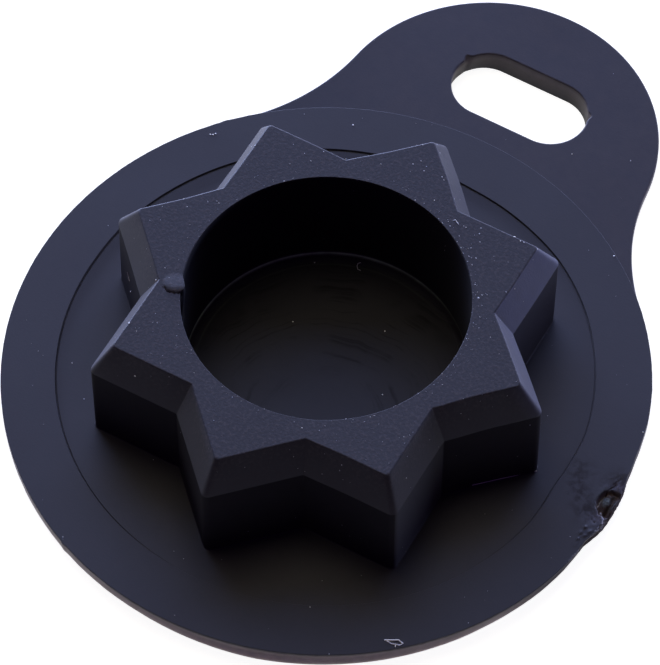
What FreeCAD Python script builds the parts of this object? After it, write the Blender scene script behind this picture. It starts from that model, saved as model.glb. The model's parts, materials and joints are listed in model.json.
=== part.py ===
"""Rubber cap: a blanking plug moulded in one piece, with a round flange, a slotted tab and a star-shaped plug.

Millimetres, +Z up. The origin is the centre of the flange's underside, +Z runs up the plug's axis and +Y along
the tab. The cap lies on its underside with the plug upwards.
"""
import FreeCAD, Part
import math
import os

from FreeCAD import Placement, Rotation, Vector

# Flange: a thin round plate with a raised sealing band round its edge
FLANGE_R = 20.0
PLATE_H = 1.6
BAND_INNER_R = 16.6
BAND_RISE = 0.12
LOWER_EDGE_R = 1.15
BAND_CHAMFER = 0.08

# Tab: a round lobe that hollow fillets join to the flange
TAB_REACH = 20.75
TAB_R = 10.7
TAB_FILLET_R = 14.2

# Slot across the tab, a little narrower underneath for draft
SLOT_WIDTH = 4.9
SLOT_LENGTH = 9.3
SLOT_DRAFT = 0.1
SLOT_Y = 24.2

# Plug: an eight-point star made of two bevelled squares, an eighth of a turn apart
STAR_SIDE = 21.0
STAR_TOP_Z = 9.8
STAR_TURN = 1.0
BEVEL_H = 2.1
BEVEL_INSET = 1.1
TIP_R = 0.45
STAR_EDGE_R = 0.12

# Blind bore in the plug, with a rounded corner at its floor
BORE_R = 8.75
FLOOR_H = 1.2
FLOOR_FILLET_R = 0.45

# Nib that a mould vent leaves on the star's top face, at a notch beside the bore
NIB_R = 0.6
NIB_RISE = 0.22
NIB_EDGE_R = 0.18
NIB_AT_R = 9.38
NIB_AT_ANGLE = -156.8

# Torn gate at the flange's edge: a scooped hollow with a lump of rubber left in it
SCOOP_R = 2.0
SCOOP_DEPTH = 0.7
SCOOP_RUN = 1.4
SCOOP_AT = (20.2, 0.2)
LUMP_R = 0.7
LUMP_TOP_BELOW = 0.3
LUMP_AT = (19.7, -0.2)

# Allowance by which cutting and joining shapes pass the faces they meet
OVERLAP = 0.4

BAND_TOP_Z = PLATE_H + BAND_RISE


def polar(radius, degrees):
    """Point of the XY plane at a radius and an angle from +X."""
    angle = math.radians(degrees)
    return Vector(radius * math.cos(angle), radius * math.sin(angle), 0)


def tab_fillet_points():
    """Centre of the right-hand hollow fillet and its tangent points on the flange and on the tab."""
    to_flange = FLANGE_R + TAB_FILLET_R
    to_tab = TAB_R + TAB_FILLET_R
    y = (TAB_REACH ** 2 + to_flange ** 2 - to_tab ** 2) / (2 * TAB_REACH)
    x = math.sqrt(to_flange ** 2 - y ** 2)
    centre = Vector(x, y, 0)
    tab_centre = Vector(0, TAB_REACH, 0)
    on_flange = centre * (FLANGE_R / to_flange)
    on_tab = tab_centre + (centre - tab_centre) * (TAB_R / to_tab)
    return centre, on_flange, on_tab


def mirrored(point):
    """The same point on the other side of the tab's centre line."""
    return Vector(-point.x, point.y, point.z)


def plate_outline():
    """Closed outline of flange and tab: four arcs, each tangent to the next."""
    centre, on_flange, on_tab = tab_fillet_points()
    middle = (on_flange + on_tab) * 0.5 - centre
    on_fillet = centre + middle * (TAB_FILLET_R / middle.Length)
    arcs = [
        Part.Arc(mirrored(on_flange), Vector(0, -FLANGE_R, 0), on_flange),
        Part.Arc(on_flange, on_fillet, on_tab),
        Part.Arc(on_tab, Vector(0, TAB_REACH + TAB_R, 0), mirrored(on_tab)),
        Part.Arc(mirrored(on_tab), mirrored(on_fillet), mirrored(on_flange)),
    ]
    return Part.Wire([arc.toShape() for arc in arcs])


def plate():
    """Flange and tab with the underside's edge rounded all the way round."""
    solid = Part.Face(plate_outline()).extrude(Vector(0, 0, PLATE_H))
    lower_edges = [edge for edge in solid.Edges if edge.BoundBox.ZMax < PLATE_H / 2]
    return solid.makeFillet(LOWER_EDGE_R, lower_edges)


def sealing_band():
    """Raised ring on the flange, which runs on across the root of the tab."""
    foot = Vector(0, 0, PLATE_H - OVERLAP)
    ring = Part.makeCylinder(FLANGE_R, BAND_RISE + OVERLAP, foot)
    ring = ring.cut(Part.makeCylinder(BAND_INNER_R, BAND_RISE + OVERLAP, foot))
    upper_edges = [edge for edge in ring.Edges if edge.BoundBox.ZMin > BAND_TOP_Z - BAND_CHAMFER]
    return ring.makeChamfer(BAND_CHAMFER, upper_edges)


def rounded_square(half_side, corner_r, z):
    """Closed outline of a square with round corners, centred on the axis."""
    flat = half_side - corner_r
    reach = flat + corner_r * math.sqrt(0.5)
    edges = []
    for quarter in range(4):
        turn = Placement(Vector(0, 0, z), Rotation(Vector(0, 0, 1), 90 * quarter))
        side_start = Vector(half_side, -flat, 0)
        side_end = Vector(half_side, flat, 0)
        corner = Vector(reach, reach, 0)
        next_start = Vector(flat, half_side, 0)
        for piece in (Part.LineSegment(side_start, side_end), Part.Arc(side_end, corner, next_start)):
            edge = piece.toShape()
            edge.Placement = turn
            edges.append(edge)
    return Part.Wire(edges)


def bevelled_square(turn):
    """One of the star's two square blocks: upright walls, then a bevel up to the top face."""
    half = STAR_SIDE / 2
    foot_z = PLATE_H - OVERLAP
    shoulder_z = STAR_TOP_Z - BEVEL_H
    shoulder = rounded_square(half, TIP_R, shoulder_z)
    foot = rounded_square(half, TIP_R, foot_z)
    block = Part.Face(foot).extrude(Vector(0, 0, shoulder_z - foot_z))
    crown = Part.makeLoft([shoulder, rounded_square(half - BEVEL_INSET, TIP_R, STAR_TOP_Z)], True, True)
    block = block.fuse(crown).removeSplitter()
    block.rotate(Vector(0, 0, 0), Vector(0, 0, 1), turn)
    return block


def star():
    """Plug with eight points: one of the two squares has its corners on the X and Y axes, turned a little."""
    solid = bevelled_square(STAR_TURN).fuse(bevelled_square(STAR_TURN + 45)).removeSplitter()
    top_edges = [edge for edge in solid.Edges if edge.BoundBox.ZMin > STAR_TOP_Z - STAR_EDGE_R]
    return solid.makeFillet(STAR_EDGE_R, top_edges)


def bore_tool():
    """Round cutter for the blind bore, with its lower corner rounded."""
    mouth_z = STAR_TOP_Z + OVERLAP
    flat_r = BORE_R - FLOOR_FILLET_R
    wall_z = FLOOR_H + FLOOR_FILLET_R
    sag = FLOOR_FILLET_R * math.sqrt(0.5)
    on_corner = Vector(flat_r + sag, 0, wall_z - sag)
    section = Part.Wire([
        Part.LineSegment(Vector(0, 0, FLOOR_H), Vector(flat_r, 0, FLOOR_H)).toShape(),
        Part.Arc(Vector(flat_r, 0, FLOOR_H), on_corner, Vector(BORE_R, 0, wall_z)).toShape(),
        Part.LineSegment(Vector(BORE_R, 0, wall_z), Vector(BORE_R, 0, mouth_z)).toShape(),
        Part.LineSegment(Vector(BORE_R, 0, mouth_z), Vector(0, 0, mouth_z)).toShape(),
        Part.LineSegment(Vector(0, 0, mouth_z), Vector(0, 0, FLOOR_H)).toShape(),
    ])
    return Part.Face(section).revolve(Vector(0, 0, 0), Vector(0, 0, 1), 360)


def slot_outline(width, length, z):
    """Closed outline with two straight sides and full round ends, across the tab."""
    end_r = width / 2
    run = length / 2 - end_r
    near = SLOT_Y - end_r
    far = SLOT_Y + end_r
    return Part.Wire([
        Part.LineSegment(Vector(-run, near, z), Vector(run, near, z)).toShape(),
        Part.Arc(Vector(run, near, z), Vector(run + end_r, SLOT_Y, z), Vector(run, far, z)).toShape(),
        Part.LineSegment(Vector(run, far, z), Vector(-run, far, z)).toShape(),
        Part.Arc(Vector(-run, far, z), Vector(-run - end_r, SLOT_Y, z), Vector(-run, near, z)).toShape(),
    ])


def slot_tool():
    """Cutter for the slot: its draft carries on past the tab's two faces."""
    slope = 2 * SLOT_DRAFT / PLATE_H
    low_z = -OVERLAP
    high_z = PLATE_H + OVERLAP
    outlines = []
    for z in (low_z, high_z):
        change = slope * (z - PLATE_H)
        outlines.append(slot_outline(SLOT_WIDTH + change, SLOT_LENGTH + change, z))
    return Part.makeLoft(outlines, True, True)


def nib():
    """Low round button with a soft edge."""
    foot = polar(NIB_AT_R, NIB_AT_ANGLE) + Vector(0, 0, STAR_TOP_Z - OVERLAP)
    button = Part.makeCylinder(NIB_R, OVERLAP + NIB_RISE, foot)
    rim = [edge for edge in button.Edges if edge.BoundBox.ZMin > STAR_TOP_Z]
    return button.makeFillet(NIB_EDGE_R, rim)


def gate_scoop():
    """Cutter for the hollow that the gate left when it tore off: a round-ended trough, less the lump in it."""
    x, y = SCOOP_AT
    trough_z = BAND_TOP_Z - SCOOP_DEPTH + SCOOP_R
    start = Vector(x, y - SCOOP_RUN / 2, trough_z)
    end = Vector(x, y + SCOOP_RUN / 2, trough_z)
    trough = Part.makeCylinder(SCOOP_R, SCOOP_RUN, start, Vector(0, 1, 0))
    trough = trough.fuse([Part.makeSphere(SCOOP_R, start), Part.makeSphere(SCOOP_R, end)])
    lump_z = BAND_TOP_Z - LUMP_TOP_BELOW - LUMP_R
    return trough.cut(Part.makeSphere(LUMP_R, Vector(*LUMP_AT, lump_z)))


def rubber_cap():
    """The whole cap as one solid."""
    body = plate().fuse([sealing_band(), star()])
    body = body.cut(bore_tool())
    body = body.cut(slot_tool())
    body = body.cut(gate_scoop())
    return body.fuse(nib()).removeSplitter()


def main():
    os.makedirs("parts", exist_ok=True)
    cap = rubber_cap()
    solid = cap.Solids[0]
    box = solid.optimalBoundingBox()
    print("solids", len(cap.Solids), "valid", solid.isValid(), "volume mm3", round(solid.Volume, 1))
    print("size mm", round(box.XLength, 2), round(box.YLength, 2), round(box.ZLength, 2))
    solid.exportStep("parts/rubber_cap.step")


main()
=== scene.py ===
# %% [markdown]
# # A moulded rubber cap
# The object is a small blanking cap, moulded in one shot of black rubber. A round flange seals the hole, a
# star shaped plug with a blind bore squeezes into it, and a slotted tab ties the cap to its chassis. The
# CAD model already fixes every size, so this lesson loads it first and takes its main sizes from there.

# %% Load the CAD frame
import json
import math

import bmesh
import bpy
import numpy as np
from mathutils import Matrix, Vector, noise
from mathutils.bvhtree import BVHTree


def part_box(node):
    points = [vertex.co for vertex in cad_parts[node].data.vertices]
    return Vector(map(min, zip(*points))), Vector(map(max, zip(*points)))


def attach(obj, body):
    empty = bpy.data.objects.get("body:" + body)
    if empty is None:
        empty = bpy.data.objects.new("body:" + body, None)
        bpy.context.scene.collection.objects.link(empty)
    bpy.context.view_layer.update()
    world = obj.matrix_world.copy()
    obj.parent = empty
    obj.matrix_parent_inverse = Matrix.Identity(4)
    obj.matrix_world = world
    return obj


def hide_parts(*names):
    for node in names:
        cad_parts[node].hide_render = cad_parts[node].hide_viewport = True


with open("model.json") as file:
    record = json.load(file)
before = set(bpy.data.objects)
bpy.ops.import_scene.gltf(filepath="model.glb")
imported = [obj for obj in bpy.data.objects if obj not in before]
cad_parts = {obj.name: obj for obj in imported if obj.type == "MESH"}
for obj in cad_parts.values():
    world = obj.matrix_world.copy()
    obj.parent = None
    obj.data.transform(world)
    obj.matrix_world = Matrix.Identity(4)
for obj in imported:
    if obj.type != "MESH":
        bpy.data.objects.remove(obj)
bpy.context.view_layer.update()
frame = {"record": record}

MM = 0.001
cad_low, cad_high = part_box("rubber_cap")
mounts = {mount["name"]: mount for mount in frame["record"]["mounts"]}
print("CAD box mm", [round(v / MM, 2) for v in cad_low], [round(v / MM, 2) for v in cad_high])

# %% [markdown]
# ## Camera
# A long lens looks down on the cap from its right. The angle, the distance and the lens were fitted to the
# round flange, the bore and the star's corners, so the picture's frame follows from them and needs no
# shift. The camera is placed by azimuth and elevation round a point that it aims at, which is easier to
# read than a matrix.

# %% Camera at the photograph's angle
AIM = Vector((-1.187, 2.472, 1.72)) * MM
AZIMUTH = math.radians(30.323)
ELEVATION = math.radians(56.568)
DISTANCE = 262.6 * MM
SENSOR_MM = 36.0
LENS_MM = 232.07
NEAREST_SEEN = 10 * MM


def direction(azimuth, elevation):
    """Unit vector away from the cap: azimuth from -Y towards +X, elevation up from the floor."""
    flat = math.cos(elevation)
    return Vector((math.sin(azimuth) * flat, -math.cos(azimuth) * flat, math.sin(elevation)))


camera_data = bpy.data.cameras.new("photo_camera")
camera_data.sensor_fit = "HORIZONTAL"
camera_data.sensor_width = SENSOR_MM
camera_data.lens = LENS_MM
camera_data.clip_start = NEAREST_SEEN
camera = bpy.data.objects.new("photo_camera", camera_data)
camera.location = AIM + direction(AZIMUTH, ELEVATION) * DISTANCE
camera.rotation_euler = direction(AZIMUTH, ELEVATION).to_track_quat("Z", "Y").to_euler()
bpy.context.scene.collection.objects.link(camera)
bpy.context.scene.camera = camera
print("camera at mm", [round(v / MM, 1) for v in camera.location])

# %% [markdown]
# ## Floor
# The cap lies on a plain pale sheet that is brighter than anything on it. A lit sheet alone would need so
# much light that the rubber would look grey, so the floor also glows towards the camera and towards
# reflections. The rest of its brightness is ordinary shading, which keeps the cap's shadow. Node trees come
# back all through this lesson, so two helpers come first: one fills a node's input, the other adds a node
# and fills all that it is given.

# %% Node helpers


def feed(tree, entry, value):
    """Links another node's output, bare or inside a formula, to an input, or sets a plain value on it."""
    socket = getattr(value, "socket", value)
    if isinstance(socket, bpy.types.NodeSocket):
        tree.links.new(socket, entry)
    else:
        entry.default_value = value


def add_node(tree, kind, *values, **settings):
    """Adds a node. Settings go to the inputs or options of that name, and values to its inputs in order."""
    node = tree.nodes.new(kind)
    for name, value in settings.items():
        label = name.replace("_", " ").title()
        if label in node.inputs:
            feed(tree, node.inputs[label], value)
        else:
            setattr(node, name, value)
    for entry, value in zip(node.inputs, values):
        feed(tree, entry, value)
    return node


def nodes_of(material):
    """Gives a fresh material's tree and its shader."""
    material.use_nodes = True
    tree = material.node_tree
    return tree, tree.nodes["Principled BSDF"]


print("node helpers ready")

# %% Pale floor
FLOOR_REACH = 0.06
FLOOR_GAP = 0.02 * MM
FLOOR_COLOUR = (0.46, 0.46, 0.44, 1)
FLOOR_GLOW = 0.93


def floor_material():
    """Pale matt floor that glows for camera, glossy and transmission rays."""
    material = bpy.data.materials.new("pale_floor")
    tree, shader = nodes_of(material)
    shader.inputs["Base Color"].default_value = FLOOR_COLOUR
    shader.inputs["Roughness"].default_value = 1.0
    shader.inputs["Specular IOR Level"].default_value = 0.0
    rays = add_node(tree, "ShaderNodeLightPath").outputs
    seen = rays["Is Camera Ray"]
    for name in ("Is Glossy Ray", "Is Transmission Ray"):
        seen = add_node(tree, "ShaderNodeMath", seen, rays[name], operation="MAXIMUM").outputs[0]
    dark = add_node(tree, "ShaderNodeEmission", strength=0.0)
    glow = add_node(tree, "ShaderNodeEmission", strength=FLOOR_GLOW)
    pick = add_node(tree, "ShaderNodeMixShader", seen, dark.outputs[0], glow.outputs[0])
    both = add_node(tree, "ShaderNodeAddShader", shader.outputs[0], pick.outputs[0])
    feed(tree, tree.nodes["Material Output"].inputs["Surface"], both.outputs[0])
    return material


floor_mesh = bpy.data.meshes.new("floor")
corners = [(-1, -1), (1, -1), (1, 1), (-1, 1)]
floor_points = [(x * FLOOR_REACH, y * FLOOR_REACH, -FLOOR_GAP) for x, y in corners]
floor_mesh.from_pydata(floor_points, [], [(0, 1, 2, 3)])
floor_mesh.materials.append(floor_material())
floor = bpy.data.objects.new("floor", floor_mesh)
bpy.context.scene.collection.objects.link(floor)
print("floor reaches", FLOOR_REACH, "m")

# %% [markdown]
# ## Light
# Black rubber shows little of its own colour. Most of what the eye sees is a soft reflection, so each lamp
# is set for the faces that mirror it. Two low strips behind the cap graze its flat faces and catch the
# bevels and edges that lean away from the camera. A wide, cool soft box above them evens out the blue-grey
# of the flat faces, and a small box overhead reaches the floor of the bore. Nothing lights the front, so
# the walls that face the camera stay nearly black. A lamp's brightness is given as it looks, and its power
# follows from its size.

# %% Four soft boxes
SOFT_BOXES = {
    "low_back_strip": dict(azimuth=165, elevation=3.6, wide=0.50, tall=0.075, look=(14.6, 16.3, 26.0)),
    "low_left_strip": dict(azimuth=228, elevation=3.6, wide=0.50, tall=0.075, look=(35.0, 41.0, 66.0)),
    "high_back_box": dict(azimuth=210, elevation=48, wide=0.60, tall=0.28, look=(1.72, 2.20, 4.10)),
    "overhead_box": dict(azimuth=230, elevation=76, wide=0.34, tall=0.30, look=(2.28, 2.06, 1.46)),
}
LAMP_DISTANCE = 0.6
POWER_PER_LOOK = 4.0


def soft_box(name, azimuth, elevation, wide, tall, look):
    """Rectangular lamp that faces the cap and looks as bright as stated."""
    data = bpy.data.lights.new(name, "AREA")
    data.shape = "RECTANGLE"
    data.size = wide
    data.size_y = tall
    data.energy = max(look) * POWER_PER_LOOK * wide * tall
    data.color = [part / max(look) for part in look]
    lamp = bpy.data.objects.new(name, data)
    way = direction(math.radians(azimuth), math.radians(elevation))
    lamp.location = way * LAMP_DISTANCE
    lamp.rotation_euler = way.to_track_quat("Z", "Y").to_euler()
    bpy.context.scene.collection.objects.link(lamp)
    return lamp


for name, setting in SOFT_BOXES.items():
    lamp = soft_box(name, **setting)
    print(name, "power W", round(lamp.data.energy, 2))

# %% [markdown]
# ## Room
# The room round the cap is dim and a little violet, because the shadows on the rubber are. The camera alone
# sees it white, so that the picture's background stays plain without any more light on the cap.

# %% Dim room, white to the camera
ROOM_COLOUR = (0.032, 0.013, 0.062, 1.0)
BACKDROP_COLOUR = (1, 1, 1, 1)
world = bpy.data.worlds.new("dim_room")
world.use_nodes = True
room = world.node_tree
dim = room.nodes["Background"]
dim.inputs["Color"].default_value = ROOM_COLOUR
white = add_node(room, "ShaderNodeBackground", color=BACKDROP_COLOUR)
eye = add_node(room, "ShaderNodeLightPath").outputs["Is Camera Ray"]
choose = add_node(room, "ShaderNodeMixShader", eye, dim.outputs[0], white.outputs[0])
feed(room, room.nodes["World Output"].inputs["Surface"], choose.outputs[0])
bpy.context.scene.world = world
bpy.context.scene.view_settings.view_transform = "Standard"
print("room colour", ROOM_COLOUR[:3])

# %% [markdown]
# ## Sizes of the cap
# The frame gives the outer sizes, the bore, the heights and the slot's place. The few that it doesn't name,
# such as edge rounds, are small and are set here once.

# %% Sizes from the frame
FLANGE_R = cad_high.x
TAB_R = 10.7 * MM
TAB_REACH = cad_high.y - TAB_R
TAB_HOLLOW_R = 14.2 * MM
PLATE_Z = mounts["tie_slot"]["pos_m"][2]
BAND_Z = mounts["sealing_band"]["pos_m"][2]
BAND_INNER_R = 16.6 * MM
BORE_R = mounts["bore"]["dims"]["r_mm"] * MM
FLOOR_Z = 1.2 * MM
STAR_HALF = 10.44 * MM
STAR_TOP_Z = 9.8 * MM
STAR_TURN = math.radians(1.0)
STAR_TIP_R = 0.45 * MM
TOP_TIP_R = 0.25 * MM
BEVEL_H = 2.1 * MM
BEVEL_INSET = 1.1 * MM
LOWER_EDGE_R = 1.15 * MM
print("bore mm", BORE_R / MM, "band top mm", BAND_Z / MM, "plate mm", PLATE_Z / MM)

# %% [markdown]
# ## The cap's section, row by row
# Cut the cap open from its axis outwards and the cut edge is one line: along the underside, up the rounded
# rim, over the band, up the star, down the bore and back to the axis. Each point of that line becomes one
# closed row of the mesh. A row is a circle, the outline of flange and tab, the outline of the star, or a
# mix of two of them, so it carries its height, a radius and how far it follows each outline. Corners get
# small arcs, because a moulding has no sharp edge and a rounded one catches the light.

# %% Row helpers
ROW_FIELDS = ("height", "radius", "plate", "inset", "star", "half", "tip", "least")
rows = []


def add_row(height, **shape):
    """One closed row: a circle, or a share of the plate's outline (drawn in by inset) or of the star's."""
    rows.append({**dict.fromkeys(ROW_FIELDS, 0.0), "height": height, **shape})


def rounded(points, radii, steps):
    """Points of a line whose inner corners are replaced by arcs of the given radii."""
    out = [points[0]]
    for before, corner, after, radius in zip(points, points[1:], points[2:], radii):
        before, corner, after = Vector(before), Vector(corner), Vector(after)
        back = (before - corner).normalized()
        on = (after - corner).normalized()
        half_angle = back.angle(on) / 2
        centre = corner + (back + on).normalized() * (radius / math.sin(half_angle))
        start = corner + back * (radius / math.tan(half_angle)) - centre
        end = corner + on * (radius / math.tan(half_angle)) - centre
        for step in range(steps + 1):
            way = start.lerp(end, step / steps).normalized()
            out.append(tuple(centre + way * radius))
    return out + [points[-1]]


def spread(start, end, count):
    """Evenly spaced values after start, up to and including end."""
    return [start + (end - start) * (k + 1) / count for k in range(count)]


def quarter(steps):
    """Angles from none to a right angle."""
    return [math.pi / 2 * step / steps for step in range(steps + 1)]


print("row fields", ROW_FIELDS)

# %% [markdown]
# ## Rows of the flange
# The flange has a flat underside, a wide round at its lower edge and a raised band that seals. Between the
# tab's outline and the round band the rows pass from one to the other in shares. The band ends in a small
# step down to the recess, with a fine groove at its foot that shows as a dark line.

# %% Rows of the flange
RIM_STEPS = 9
EDGE_STEPS = 4
UNDERSIDE_INSET = 1.3 * LOWER_EDGE_R
TAB_EDGE_R = 0.1 * MM
TAB_SHARES = (0.97, 0.85, 0.7, 0.55, 0.4, 0.25, 0.1, 0.02, 0.0)
BAND_EDGE_R = 0.03 * MM
BAND_ROWS = 30
BAND_ROWS_R = 16.9 * MM
STEP_RUN = 0.05 * MM
STEP_EDGE_R = 0.015 * MM
STEP_EDGE_STEPS = 2
GROOVE_DEPTH = 0.06 * MM
GROOVE_RUN = 0.07 * MM
RECESS_R = BAND_INNER_R - 1.0 * MM

add_row(0)
add_row(0, radius=FLANGE_R / 2)
add_row(0, plate=1, inset=UNDERSIDE_INSET)
for tilt in quarter(RIM_STEPS):
    add_row(LOWER_EDGE_R * (1 - math.cos(tilt)), plate=1, inset=LOWER_EDGE_R * (1 - math.sin(tilt)))
for tilt in quarter(EDGE_STEPS):
    drop = TAB_EDGE_R * (1 - math.sin(tilt))
    add_row(PLATE_Z - drop, plate=1, inset=TAB_EDGE_R * (1 - math.cos(tilt)), least=FLANGE_R)
for share in TAB_SHARES:
    add_row(PLATE_Z, radius=FLANGE_R, plate=share, inset=TAB_EDGE_R, least=FLANGE_R)
band_line = [(FLANGE_R, PLATE_Z), (FLANGE_R, BAND_Z), (BAND_ROWS_R, BAND_Z)]
for radius, height in rounded(band_line, [BAND_EDGE_R], EDGE_STEPS)[1:-1]:
    add_row(height, radius=radius)
for radius in spread(FLANGE_R - BAND_EDGE_R, BAND_ROWS_R, BAND_ROWS):
    add_row(BAND_Z, radius=radius)
step_line = [
    (BAND_ROWS_R, BAND_Z),
    (BAND_INNER_R + STEP_RUN, BAND_Z),
    (BAND_INNER_R, PLATE_Z - GROOVE_DEPTH),
    (BAND_INNER_R - GROOVE_RUN, PLATE_Z),
    (RECESS_R, PLATE_Z),
]
for radius, height in rounded(step_line, [STEP_EDGE_R] * 3, STEP_EDGE_STEPS)[1:]:
    add_row(height, radius=radius)
print("rows of the flange", len(rows))

# %% [markdown]
# ## Rows of the star and the bore
# The star stands on the recess with a tight foot. Its upright wall turns in at a soft shoulder and leans
# inwards as a bevel up to the flat top, where the tips are sharper than at the foot. Then the rows pass
# from the star to the round bore, go down its wall, round the fillet at its floor and in to the axis.

# %% Rows of the star
FOOT_R = 0.06 * MM
FOOT_SHARES = (0.15, 0.35, 0.55, 0.75, 0.9)
SHOULDER_R = 0.20 * MM
TOP_EDGE_R = 0.12 * MM
foot_half = STAR_HALF + 2 * FOOT_R
top_half = STAR_HALF - BEVEL_INSET
flat_half = top_half - 2 * TOP_EDGE_R
for share in FOOT_SHARES:
    add_row(PLATE_Z, radius=RECESS_R, star=share, half=foot_half, tip=STAR_TIP_R)
star_line = [
    (foot_half, PLATE_Z),
    (STAR_HALF, PLATE_Z),
    (STAR_HALF, STAR_TOP_Z - BEVEL_H),
    (top_half, STAR_TOP_Z),
    (flat_half, STAR_TOP_Z),
]
for half, height in rounded(star_line, [FOOT_R, SHOULDER_R, TOP_EDGE_R], EDGE_STEPS):
    up_bevel = max(0, (height - STAR_TOP_Z + BEVEL_H) / BEVEL_H)
    add_row(height, star=1, half=half, tip=STAR_TIP_R + (TOP_TIP_R - STAR_TIP_R) * up_bevel)
print("rows up to the star's top edge", len(rows))

# %% Rows of the bore
TOP_ROWS = 14
BORE_EDGE_R = 0.03 * MM
BORE_EDGE_STEPS = 6
BORE_DROPS_MM = (0.25, 0.45, 0.7, 3.0, 6.0, 7.85, 8.0, 8.08)
FLOOR_FILLET_R = 0.45 * MM
FLOOR_RING_R = 8.2 * MM
MID_FLOOR_R = FLOOR_RING_R - 0.4 * MM
OUTER_FLOOR_ROWS = 12
INNER_FLOOR_ROWS = 8
for share in spread(1, 0, TOP_ROWS)[:-1]:
    add_row(STAR_TOP_Z, radius=BORE_R + BORE_EDGE_R, star=share, half=flat_half, tip=TOP_TIP_R)
bore_line = [(BORE_R + 2 * BORE_EDGE_R, STAR_TOP_Z), (BORE_R, STAR_TOP_Z), (BORE_R, FLOOR_Z), (0, FLOOR_Z)]
bore_profile = rounded(bore_line, [BORE_EDGE_R, FLOOR_FILLET_R], BORE_EDGE_STEPS)[1:-1]
for radius, height in bore_profile[: BORE_EDGE_STEPS + 1]:
    add_row(height, radius=radius)
for drop in BORE_DROPS_MM:
    add_row(STAR_TOP_Z - drop * MM, radius=BORE_R)
for radius, height in bore_profile[BORE_EDGE_STEPS + 1 :]:
    add_row(height, radius=radius)
for radius in spread(BORE_R - FLOOR_FILLET_R, MID_FLOOR_R, OUTER_FLOOR_ROWS):
    add_row(FLOOR_Z, radius=radius)
for radius in spread(MID_FLOOR_R, 0, INNER_FLOOR_ROWS):
    add_row(FLOOR_Z, radius=radius)
print("section rows", len(rows))

# %% [markdown]
# ## Formulas as nodes
# Both outlines follow a rule, so Geometry Nodes can draw them from a handful of sizes. Typing such a rule
# as separate Math nodes is hard to read. This small class stands for a number inside a node tree: adding or
# multiplying two of them adds the matching Math node, so the rule can be written as a formula.

# %% A number inside a node tree


class Formula:
    """A value that a node tree works out. Sums and products of formulas add Math nodes."""

    def __init__(self, tree, socket):
        self.tree = tree
        self.socket = socket

    def __add__(self, other):
        return calc("ADD", self, other)

    def __sub__(self, other):
        return calc("SUBTRACT", self, other)

    def __rsub__(self, other):
        return calc("SUBTRACT", other, self)

    def __mul__(self, other):
        return calc("MULTIPLY", self, other)

    def __truediv__(self, other):
        return calc("DIVIDE", self, other)

    __radd__ = __add__
    __rmul__ = __mul__


def calc(operation, *values):
    """Adds one Math node for these values and gives its result."""
    tree = next(value.tree for value in values if isinstance(value, Formula))
    return Formula(tree, add_node(tree, "ShaderNodeMath", *values, operation=operation).outputs[0])


def where(condition, yes, no):
    """Takes yes where the condition is above zero, and no elsewhere."""
    tree = condition.tree
    node = add_node(tree, "GeometryNodeSwitch", input_type="FLOAT", switch=condition, true=yes, false=no)
    return Formula(tree, node.outputs[0])


def square(value):
    """A formula times itself."""
    return value * value


def root(value):
    """Square root of a formula."""
    return calc("SQRT", value)


print("formulas ready")

# %% [markdown]
# ## The two outlines
# The plate's outline is a round flange, a round tab and a hollow arc that touches both. Seen from the axis,
# each direction meets one of these three arcs. The star is two squares an eighth of a turn apart, so its
# outline repeats every 45 degrees: a flat side from notch to tip, and a small round at the tip.

# %% Outline of flange and tab, and outline of the star


def plate_reach(angle, inset, flange_r, tab_reach, tab_r, hollow_r):
    """Distance from the axis to the outline of flange and tab, drawn in by inset."""
    off_tab = calc("ARCTAN2", calc("ABSOLUTE", calc("COSINE", angle)), calc("SINE", angle))
    aside = calc("SINE", off_tab)
    along = calc("COSINE", off_tab)
    to_flange = flange_r + hollow_r
    to_tab = tab_r + hollow_r
    hollow_y = (square(tab_reach) + square(to_flange) - square(to_tab)) / (2 * tab_reach)
    hollow_x = root(square(to_flange) - square(hollow_y))
    touch = (tab_r - inset) / to_tab
    tab_end = calc("ARCTAN2", hollow_x * touch, tab_reach + (hollow_y - tab_reach) * touch)
    hollow_end = calc("ARCTAN2", hollow_x, hollow_y)
    on_tab = tab_reach * along + root(square(tab_r - inset) - square(tab_reach * aside))
    middle = hollow_x * aside + hollow_y * along
    across = hollow_x * along - hollow_y * aside
    on_hollow = middle - root(square(hollow_r + inset) - square(across))
    beyond_tab = where(calc("LESS_THAN", off_tab, hollow_end), on_hollow, flange_r - inset)
    return where(calc("LESS_THAN", off_tab, tab_end), on_tab, beyond_tab)


def star_reach(angle, half, turn, tip_r):
    """Distance from the axis to the outline of two crossed squares with rounded corners."""
    eighth = math.pi / 4
    off_tip = calc("ABSOLUTE", calc("WRAP", angle - turn, eighth / 2, -eighth / 2))
    on_side = half / calc("COSINE", eighth - off_tip)
    tip_centre = (half - tip_r) * math.sqrt(2)
    tip_end = calc("ARCTAN2", tip_r * math.sqrt(0.5), tip_centre + tip_r * math.sqrt(0.5))
    on_tip = tip_centre * calc("COSINE", off_tip)
    on_tip = on_tip + root(square(tip_r) - square(tip_centre * calc("SINE", off_tip)))
    return where(calc("LESS_THAN", off_tip, tip_end), on_tip, on_side)


print("outline rules ready")

# %% [markdown]
# ## The node tree for the moulded body
# A grid has one column for each spoke round the axis and one row for each point of the section. The tree
# bends that grid into the cap: it looks up the row's values, works out the radius for the spoke's angle and
# moves the point there. Spokes stand closer together near the star's tips and notches, where the outline
# turns, and wider apart along its sides. The first and last spokes meet, so a merge closes the seam and
# both poles.

# %% Start and end of a tree


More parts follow.
